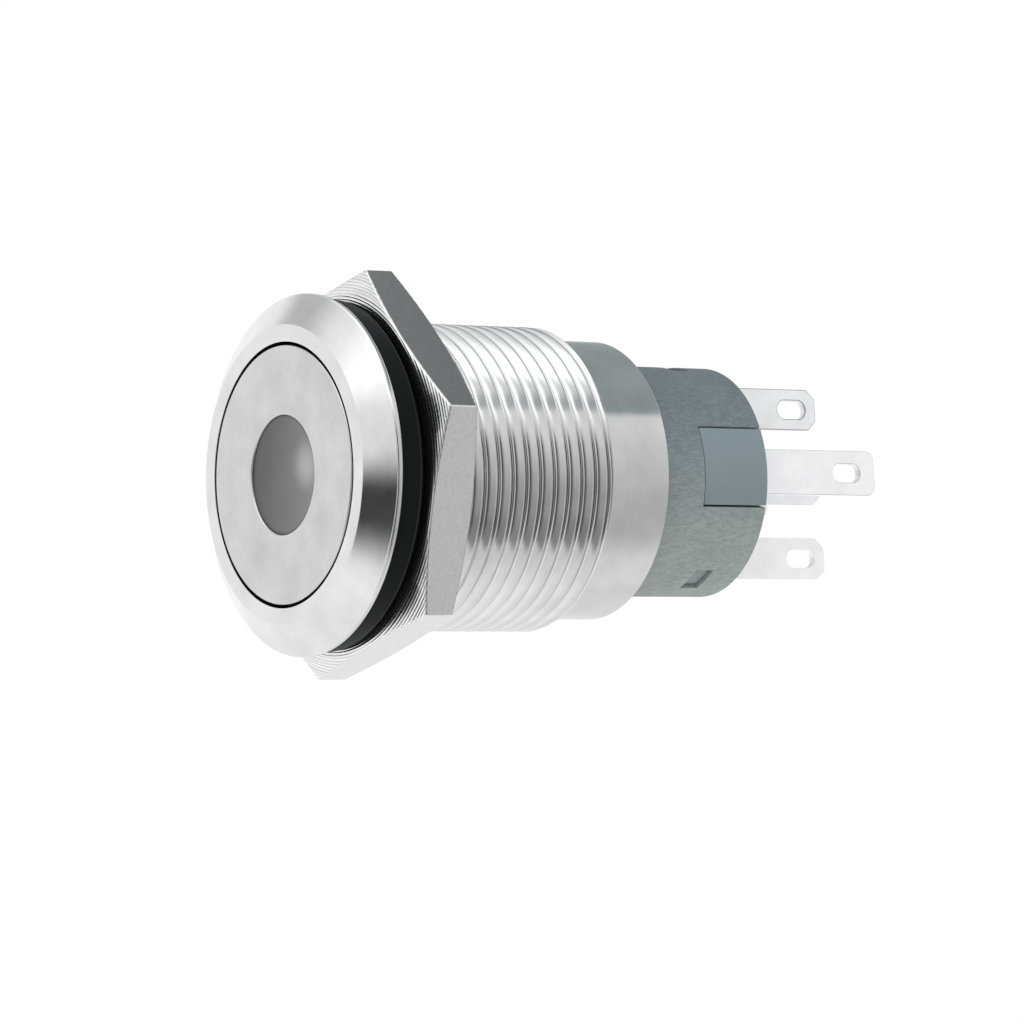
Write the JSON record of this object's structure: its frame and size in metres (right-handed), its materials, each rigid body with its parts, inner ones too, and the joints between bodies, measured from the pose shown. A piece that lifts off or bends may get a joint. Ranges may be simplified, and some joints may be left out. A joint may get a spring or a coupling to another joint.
{
  "type": "anti-vandal push button",
  "caption": "Panel-mounted stainless push button with a lit dot, flat head, threaded barrel, hex nut, gasket and solder blades on a round contact block.",
  "frame": {"origin": "on the axis, in the plane of the head's underside, which clamps the panel", "axes": "+Y runs along the axis from the head to the terminals, so the button faces -Y; +Z runs along the column of three blades, +X towards the key notch"},
  "size_m": [0.0248, 0.0402, 0.0242],
  "materials": {
    "stainless": "satin turned",
    "cap_steel": "fine turned rings",
    "nut_steel": "fine ground",
    "spring_steel": "drawn wire",
    "rubber": "matt",
    "lens": "translucent",
    "white_moulding": "moulded",
    "sleeve_moulding": "moulded with glass fibre",
    "base_moulding": "moulded, smoother than the sleeve",
    "silvered_brass": "silver plated",
    "contact_metal": "silver faced",
    "lamp_epoxy": "clear",
    "tinned_wire": "tinned",
    "resistor_body": "lacquered"
  },
  "bodies": {
    "housing": {"shell": "stainless", "panel_gasket": "rubber", "stem_seal": "rubber", "return_spring": "spring_steel", "contact_spring": "spring_steel", "contact_housing": "sleeve_moulding", "housing_seal": "rubber", "terminal_base": "base_moulding", "terminal_nc": "silvered_brass", "terminal_common": "silvered_brass", "terminal_no": "silvered_brass", "contact_nc": "contact_metal", "contact_no": "contact_metal", "lamp_terminal_plus": "silvered_brass", "lamp_terminal_minus": "silvered_brass", "lamp_holder": "white_moulding", "led_lamp": "lamp_epoxy", "lamp_lead_plus": "tinned_wire", "lamp_lead_minus": "tinned_wire", "lamp_resistor": "resistor_body"},
    "button": {"button_cap": "cap_steel", "dot_lens": "lens", "retaining_ring": "spring_steel", "plunger": "white_moulding", "moving_contact": "contact_metal"},
    "nut": {"hex_nut": "nut_steel"}
  },
  "joints": [
    {"name": "button_press", "type": "slide", "parent": "housing", "child": "button", "axis": [0, 1, 0], "range_m": [0, 0.0025], "stiffness_N_per_m": 1200, "springref_m": -0.0015, "deforming": ["return_spring", "contact_spring"]},
    {"name": "nut_travel", "type": "slide", "parent": "housing", "child": "nut", "axis": [0, 1, 0], "range_m": [0, 0.0375]}
  ]
}
